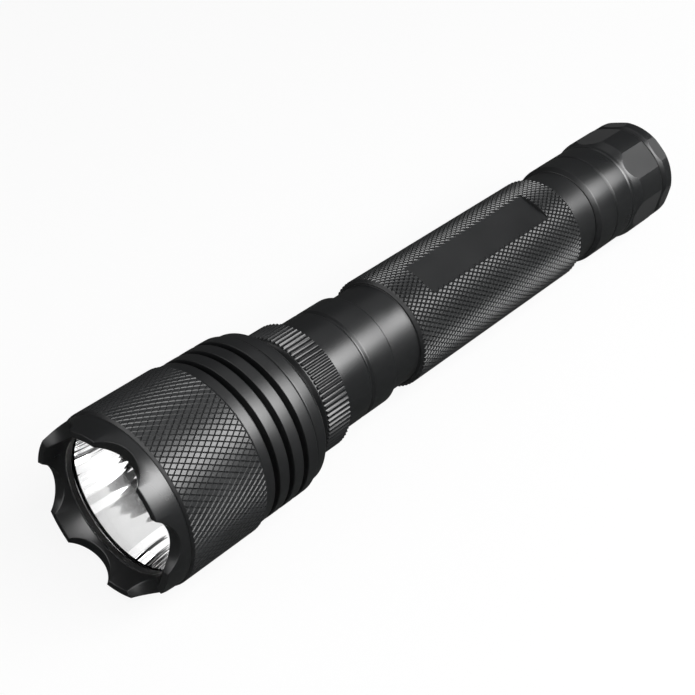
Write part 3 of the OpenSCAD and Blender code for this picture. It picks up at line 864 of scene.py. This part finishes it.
class FLASHLIGHT_OT_neck_sleeve(Operator):
    """Build the neck sleeve with its turned groove and its spigot"""
    bl_idname = "flashlight.neck_sleeve"
    bl_label = "Neck sleeve"

    def execute(self, context):
        s = context.scene.flashlight_ring
        rear, front = span("neck_sleeve")
        top = span("selector_ring")[0] - SEAT_GAP
        spigot_end = span("selector_ring")[1]
        r, spigot = s.neck_radius / MM, s.spigot_radius / MM
        groove = rear + s.groove_at / MM
        width, depth = s.groove_width / MM, s.groove_depth / MM
        bore = context.scene.flashlight_tube.thread_radius / MM + SLIDE_GAP
        neck = turned_piece("neck_sleeve_turned", [
            (bore, rear), (r - 0.35, rear), (r, rear + 0.35),
            (r, groove), (r - depth, groove + width * 0.4), (r - depth, groove + width * 0.6),
            (r, groove + width * 0.85), (r, top - 0.2), (r - 0.2, top), (spigot, top),
            (spigot, spigot_end), (spigot - 0.4, spigot_end), (spigot - 0.4, front),
            (bore, front),
        ], radius=0.2)
        fit(neck, turned_anodise(), "head", "black_anodised", "neck_sleeve")
        return {"FINISHED"}


class FLASHLIGHT_OT_tail_cap(Operator):
    """Build the tail cap with its wrench flats and end collar"""
    bl_idname = "flashlight.tail_cap"
    bl_label = "Tail cap"

    def execute(self, context):
        s = context.scene.flashlight_tail
        tube = context.scene.flashlight_tube
        low, front = span("tail_cap")
        nut, cap = s.nut_radius / MM, s.cap_radius / MM
        collar, nut_top = s.collar_height / MM, s.nut_top / MM
        taper_top = nut_top + s.nut_taper / MM
        hole = s.hole_radius / MM
        seat = tube.seat_radius / MM
        bore = tube.thread_radius / MM + SLIDE_GAP
        fine = 12
        columns = 240
        end = TurnedMesh(columns, s.flat_turn)
        end.section(rounded([
            (hole, low), (nut - 0.45, low), (nut - 0.1, low + 0.4), (nut - 0.1, collar - 1.2),
            (nut - 0.9, collar), (hole, collar),
        ], 0.3, 8))
        end.close()
        collar_piece = mesh_piece("tail_collar", end, fine)
        combine(collar_piece, prism(low - 1, collar + 1, s.collar_apothem / MM, 6, s.flat_turn),
                "INTERSECT", fine)
        band = TurnedMesh(columns, s.flat_turn)
        band.section(rounded([
            (hole, collar + 0.3), (nut - 1.0, collar + 0.3), (nut, collar + 1.1),
            (nut, nut_top), (cap, taper_top), (cap, taper_top + 0.5), (hole, taper_top + 0.5),
        ], 0.25, 8))
        band.close()
        nut_piece = mesh_piece("tail_nut_band", band, fine)
        combine(nut_piece, prism(collar - 1, taper_top + 2, s.flat_apothem / MM, 6, s.flat_turn),
                "INTERSECT", fine)
        groove = 27.6
        line = taper_top + 1.4
        sleeve = turned_piece("tail_cap_turned", [
            (bore, taper_top - 1.5), (cap - 0.4, taper_top - 1.5), (cap - 0.02, taper_top),
            (cap, taper_top + 0.1), (cap, line - 0.45), (cap - 0.25, line), (cap, line + 0.15),
            (cap, groove - 0.6), (cap - 0.45, groove - 0.05), (cap - 0.45, groove + 0.05),
            (cap, groove + 0.3), (cap - 0.05, front - 1.1), (seat + SLIDE_GAP, front),
            (bore, front),
        ], radius=0.15)
        core_r = 13.0
        core = turned_piece("tail_cap_core", [
            (hole, collar - 0.8), (core_r, collar - 0.8), (core_r, collar + 1.2),
            (hole, collar + 1.2),
        ], radius=0.05)
        for piece in (sleeve, collar_piece, nut_piece, core):
            fit(piece, turned_anodise(), "tail_cap", "black_anodised", "tail_cap")
        mill_flats(nut_piece, s.flat_apothem / MM)
        mill_flats(collar_piece, s.collar_apothem / MM)
        return {"FINISHED"}


class FLASHLIGHT_OT_tail_switch(Operator):
    """Build the rubber boot and finish the switch behind it"""
    bl_idname = "flashlight.tail_switch"
    bl_label = "Tail switch"

    def execute(self, context):
        low, flange_top = span("switch_boot")
        hole = context.scene.flashlight_tail.hole_radius / MM - SLIDE_GAP
        flange_r = radius_of("switch_boot")
        wall = 1.2
        flange = flange_top - wall + 0.05
        crown = low + 0.9
        outline = [(0.35, low), (2.2, low + 0.02), (3.8, low + 0.18), (5.0, low + 0.45),
                   (hole - 0.35, crown), (hole, crown + 0.6), (hole, flange), (flange_r, flange),
                   (flange_r, flange_top), (hole - wall, flange_top), (hole - wall, crown + wall),
                   (3.6, low + wall + 0.2), (0.35, low + wall)]
        shape = TurnedMesh(96)
        shape.section(rounded(outline, 0.3, 4))
        # Concentric grip rings, 1.1 mm apart and 0.12 mm high, stand on the crown.
        shape.points = [self.grip_ring(point, crown) for point in shape.points]
        shape.caps()
        boot = mesh_piece("switch_boot_moulded", shape)
        rubber = simple_finish("black_silicone_rubber", finishes().rubber[:], 0.55, grain_mm=0.2,
                               bump_mm=0.02)
        boot.data.materials.append(rubber)
        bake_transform(boot)
        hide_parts("switch_boot")
        plastic = simple_finish("moulded_switch_plastic", linear("#242424"), 0.5)
        finish_node("switch_housing", plastic)
        finish_node("switch_plunger", simple_finish("red_plunger_plastic", linear("#9a3a2c"), 0.35))
        finish_node("retaining_ring", turned_brass())
        return {"FINISHED"}

    @staticmethod
    def grip_ring(point, crown):
        x, y, z = point
        r = math.hypot(y, z - AXIS_HEIGHT * MM) / MM
        station = TAIL_X - x / MM
        innermost, outermost, height, pitch = 1.0, 5.0, 0.12, 1.1
        if station < crown and innermost < r < outermost:
            return (x + height / 2 * MM * math.cos(2 * math.pi * r / pitch), y, z)
        return point


class FLASHLIGHT_OT_optics(Operator):
    """Build the reflector bowl, the glass lens and the LED with its clear dome"""
    bl_idname = "flashlight.optics"
    bl_label = "Optics"

    def execute(self, context):
        rear, mouth = span("reflector")
        flange_r = radius_of("reflector")
        mouth_r, hole_r, flange, wall = 16.2, 4.2, 2.0, 1.1
        slope = (mouth - rear) / (mouth_r ** 2 - hole_r ** 2)
        steps = 48
        bowl = [
            (hole_r + (mouth_r - hole_r) * i / steps,
             rear + slope * ((hole_r + (mouth_r - hole_r) * i / steps) ** 2 - hole_r ** 2))
            for i in range(steps + 1)
        ]
        shape = TurnedMesh(180)
        shape.section([(r, z) for r, z in bowl])
        shape.section([(mouth_r + 0.15, mouth), (flange_r, mouth), (flange_r, mouth - flange)])
        shape.section([(r + wall, z) for r, z in reversed(bowl) if z < mouth - flange - 1.2])
        shape.close()
        reflector = mesh_piece("reflector_bowl", shape, 40)
        fit(reflector, bright_reflector(), "head", "bright_reflector", "reflector")

        low, high = span("lens")
        lens_r = radius_of("lens")
        lens = TurnedMesh(144)
        lens.section([(0.01, low)])
        lens.section(rounded([(0.02, low), (lens_r, low), (lens_r, high), (0.02, high)], 0.35, 3))
        lens.section([(0.01, high)])
        lens.caps()
        glass = mesh_piece("lens_glass_disc", lens)
        fit(glass, coated_glass(), "lens_stack", "lens_glass", "lens")
        finish_node("lens_seal", seal_rubber())

        base, tip = span("led_emitter")
        side = radius_of("led_emitter")
        dome_r, base_h = 2.0, 0.7
        ceramic = bevelled_block("led_ceramic_base", base, base + base_h, side)
        fit(ceramic, simple_finish("white_ceramic", linear("#e9e9e4"), 0.4), "head", "led",
            "led_emitter")
        die = bevelled_block("led_phosphor_die", base + base_h, base + base_h + 0.2, 1.0)
        fit(die, simple_finish("yellow_phosphor", linear("#e6c832"), 0.6), "head", "led",
            "led_emitter")
        dome = TurnedMesh(64)
        arc = 16
        start = base + base_h
        dome.section([(0.02, start), (dome_r, start)])
        dome.section([
            (max(0.02, dome_r * math.cos(math.pi / 2 * k / arc)),
             start + (tip - start) * math.sin(math.pi / 2 * k / arc)) for k in range(1, arc + 1)
        ])
        dome.caps()
        silicone = mesh_piece("led_silicone_dome", dome)
        fit(silicone, coated_glass(), "head", "led", "led_emitter")
        return {"FINISHED"}


def bevelled_block(name, z0, z1, half):
    """A small square block on the axis with softened edges."""
    tool = block(z0, z1, -half, half, half, 0.0)
    tool.name = tool.data.name = name
    bevel = tool.modifiers.new("edge", "BEVEL")
    bevel.width = 0.06 * MM
    bevel.segments = 2
    tool.data = bpy.data.meshes.new_from_object(
        tool.evaluated_get(bpy.context.evaluated_depsgraph_get())
    )
    tool.modifiers.clear()
    shade(tool)
    return tool


class FLASHLIGHT_OT_inner_parts(Operator):
    """Finish the cells, springs, boards, pill and spacer inside the light"""
    bl_idname = "flashlight.inner_parts"
    bl_label = "Inner parts"

    def execute(self, context):
        board = simple_finish("green_circuit_board", linear("#2d6b3d"), 0.4)
        looks = {
            "cell_1": simple_finish("blue_shrink_sleeve", linear("#33526f"), 0.35),
            "pill": turned_brass(), "driver_spring": turned_brass(),
            "tail_spring": plated_steel(), "driver_board": board, "switch_board": board,
            "led_board": simple_finish("white_board_lacquer", linear("#dcdcd6"), 0.45),
            "led_spacer": simple_finish("white_spacer_plastic", linear("#efefec"), 0.5),
        }
        looks["cell_2"] = looks["cell_3"] = looks["cell_1"]
        for node, material in looks.items():
            finish_node(node, material)
        return {"FINISHED"}


# ---- stage

class FlashlightStage(PropertyGroup):
    """Camera of the stage."""
    lens: FloatProperty(name="Lens", description="Focal length of the camera", default=71.1,
                        unit="CAMERA")
    camera: FloatVectorProperty(
        name="Camera", description="Place of the camera", subtype="TRANSLATION", unit="LENGTH",
        default=(-0.2184, -0.1697, 0.2013))
    camera_pitch: angle("Camera pitch", "How far the camera looks down", 34.79)
    camera_heading: angle("Camera heading", "Camera's heading from +Y towards +X", 48.93)


def look(location, target):
    """A matrix at a place with -Z towards a target and +X level."""
    ahead = (Vector(target) - Vector(location)).normalized()
    return Matrix.Translation(location) @ ahead.to_track_quat("-Z", "Y").to_matrix().to_4x4()


def softbox(name, long_side, short_side, radiance):
    """A rectangular softbox; its sides are in metres and it shines along its -Z."""
    lamp = bpy.data.lights.new(name, "AREA")
    lamp.shape = "RECTANGLE"
    lamp.size, lamp.size_y = long_side, short_side
    # A one-sided lamp of area A and power P has a radiance of P / (pi * A).
    lamp.energy = radiance * math.pi * long_side * short_side
    return link_object(name, lamp)


def strip_softbox(name, middle, turn, long_side, short_side, radiance):
    """A softbox beside the light, its long side along the axis and its face to the axis.

    middle is its X, and turn is its angle about the axis in degrees from straight up."""
    away = 0.6
    out = Vector((0, math.sin(math.radians(turn)), math.cos(math.radians(turn))))
    along = Vector((1, 0, 0))
    basis = Matrix((along, out.cross(along), out)).transposed().to_4x4()
    spot = Vector((middle, 0, AXIS_HEIGHT * MM)) + out * away
    softbox(name, long_side, short_side, radiance).matrix_world = (
        Matrix.Translation(spot) @ basis)


def front_softbox(name, spot, side, radiance):
    """A square softbox in front of the light that faces its head."""
    head = Vector((-97 * MM, 0.0, AXIS_HEIGHT * MM))
    softbox(name, side, side, radiance).matrix_world = look(spot, head)


class FLASHLIGHT_OT_stage(Operator):
    """Set up the pale floor, the softboxes, the world and the camera"""
    bl_idname = "flashlight.stage"
    bl_label = "Stage"

    def execute(self, context):
        scene = context.scene
        scene.view_settings.view_transform = "Standard"
        self.floor(context)
        self.world(context)
        strip_softbox("key_softbox", 0.26, -41, 1.26, 0.33, 5.3)
        strip_softbox("side_softbox", 0.17, -51, 0.4, 0.34, 4.2)
        strip_softbox("top_softbox", 0.24, 14, 0.5, 0.36, 0.3)
        front_softbox("front_softbox", (-0.75, -0.12, 0.28), 0.5, 1.6)
        front_softbox("far_softbox", (-0.6, 0.3, 0.35), 0.45, 1.4)
        self.camera(context)
        return {"FINISHED"}

    def floor(self, context):
        """A pale floor that the light lies on; it touches the head and the tail cap."""
        head_low, head_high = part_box("head_shell")
        tail_low, tail_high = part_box("tail_cap")
        band_rear, collar_front = 20.5 * MM, 5.2 * MM
        near = Vector((head_high[0] - band_rear, 0, head_low[2]))
        far = Vector((tail_high[0] - collar_front, 0, tail_low[2]))
        tilt = math.atan2(far.z - near.z, far.x - near.x)
        half = 2.0
        mesh = bpy.data.meshes.new("floor")
        mesh.from_pydata([(-half, -half, 0), (half, -half, 0), (half, half, 0), (-half, half, 0)],
                         [], [(0, 1, 2, 3)])
        floor = link_object("floor", mesh)
        floor.matrix_world = Matrix.Translation(near) @ Matrix.Rotation(-tilt, 4, "Y")
        material = bpy.data.materials.new("pale_floor")
        material.use_nodes = True
        tree = material.node_tree
        shader = tree.nodes["Principled BSDF"]
        shader.inputs["Roughness"].default_value = 0.9
        shader.inputs["Specular IOR Level"].default_value = 0.1
        glow = add_node(tree, "ShaderNodeEmission", {"Color": (1, 1, 1, 1), "Strength": 1.0})
        path = add_node(tree, "ShaderNodeLightPath")
        seen = add_node(tree, "ShaderNodeMath", {"operation": "MAXIMUM"},
                        i0=path.outputs["Is Camera Ray"], i1=path.outputs["Is Transmission Ray"])
        share = add_node(tree, "ShaderNodeMath", {"operation": "MULTIPLY", 1: 0.9},
                         i0=seen.outputs[0])
        # The dark body mirrors the floor, so glossy rays find it dimmer than the eye does.
        dim = blend_colours(tree, context.scene.flashlight_finish.floor[:], linear("#3c3d3c"),
                            path.outputs["Is Glossy Ray"])
        tree.links.new(dim.outputs[2], shader.inputs["Base Color"])
        mix = add_node(tree, "ShaderNodeMixShader", {}, Fac=share.outputs[0],
                       i1=shader.outputs[0], i2=glow.outputs[0])
        tree.links.new(mix.outputs[0], tree.nodes["Material Output"].inputs["Surface"])
        mesh.materials.append(material)

    def world(self, context):
        """A dim room for the light's surfaces, and plain white behind it."""
        world = bpy.data.worlds.new("studio")
        context.scene.world = world
        world.use_nodes = True
        tree = world.node_tree
        path = add_node(tree, "ShaderNodeLightPath")
        behind = add_node(tree, "ShaderNodeMapRange", {"To Min": 0.06, "To Max": 1.0},
                          Value=path.outputs["Is Camera Ray"])
        # Two passes through the lens cost a fifth of the light that the bowl mirrors.
        through = add_node(tree, "ShaderNodeMath", {"operation": "MULTIPLY", 1: 1.3},
                           i0=path.outputs["Is Transmission Ray"])
        strength = add_node(tree, "ShaderNodeMath", {"operation": "MAXIMUM"},
                            i0=behind.outputs["Result"], i1=through.outputs[0])
        background = tree.nodes["Background"]
        background.inputs["Color"].default_value = (1, 1, 1, 1)
        tree.links.new(strength.outputs[0], background.inputs["Strength"])

    def camera(self, context):
        s = context.scene.flashlight_stage
        data = bpy.data.cameras.new("camera")
        data.lens = s.lens
        data.sensor_width = 36.0
        data.clip_start = 0.01
        camera = link_object("camera", data)
        heading, pitch = s.camera_heading, s.camera_pitch
        turn = Matrix.Rotation(-heading, 4, "Z") @ Matrix.Rotation(math.pi / 2 - pitch, 4, "X")
        camera.matrix_world = Matrix.Translation(Vector(s.camera)) @ turn
        context.scene.camera = camera


class FLASHLIGHT_PT_panel(Panel):
    """Lists the pieces of the flashlight"""
    bl_idname = "FLASHLIGHT_PT_panel"
    bl_label = "Flashlight"
    bl_space_type = "VIEW_3D"
    bl_region_type = "UI"
    bl_category = "Flashlight"

    def draw(self, context):
        for operator in OPERATORS:
            self.layout.operator(operator.bl_idname, text=operator.bl_label)


GROUPS = {
    "flashlight_tube": FlashlightTube, "flashlight_head": FlashlightHead,
    "flashlight_bezel": FlashlightBezel, "flashlight_tail": FlashlightTail,
    "flashlight_ring": FlashlightRing, "flashlight_finish": FlashlightFinish,
    "flashlight_stage": FlashlightStage,
}
OPERATORS = (
    FLASHLIGHT_OT_body_tube, FLASHLIGHT_OT_head_shell, FLASHLIGHT_OT_bezel_ring,
    FLASHLIGHT_OT_selector_ring, FLASHLIGHT_OT_neck_sleeve, FLASHLIGHT_OT_tail_cap,
    FLASHLIGHT_OT_tail_switch, FLASHLIGHT_OT_optics, FLASHLIGHT_OT_inner_parts,
    FLASHLIGHT_OT_stage,
)


def register():
    for name, group in GROUPS.items():
        bpy.utils.register_class(group)
        setattr(bpy.types.Scene, name, PointerProperty(type=group))
    for item in OPERATORS + (FLASHLIGHT_PT_panel,):
        bpy.utils.register_class(item)


def unregister():
    for item in reversed(OPERATORS + (FLASHLIGHT_PT_panel,)):
        bpy.utils.unregister_class(item)
    for name, group in reversed(list(GROUPS.items())):
        delattr(bpy.types.Scene, name)
        bpy.utils.unregister_class(group)


def main():
    register()
    for operator in OPERATORS:
        prefix, name = operator.bl_idname.split(".")
        getattr(getattr(bpy.ops, prefix), name)()


if __name__ == "__main__":
    main()
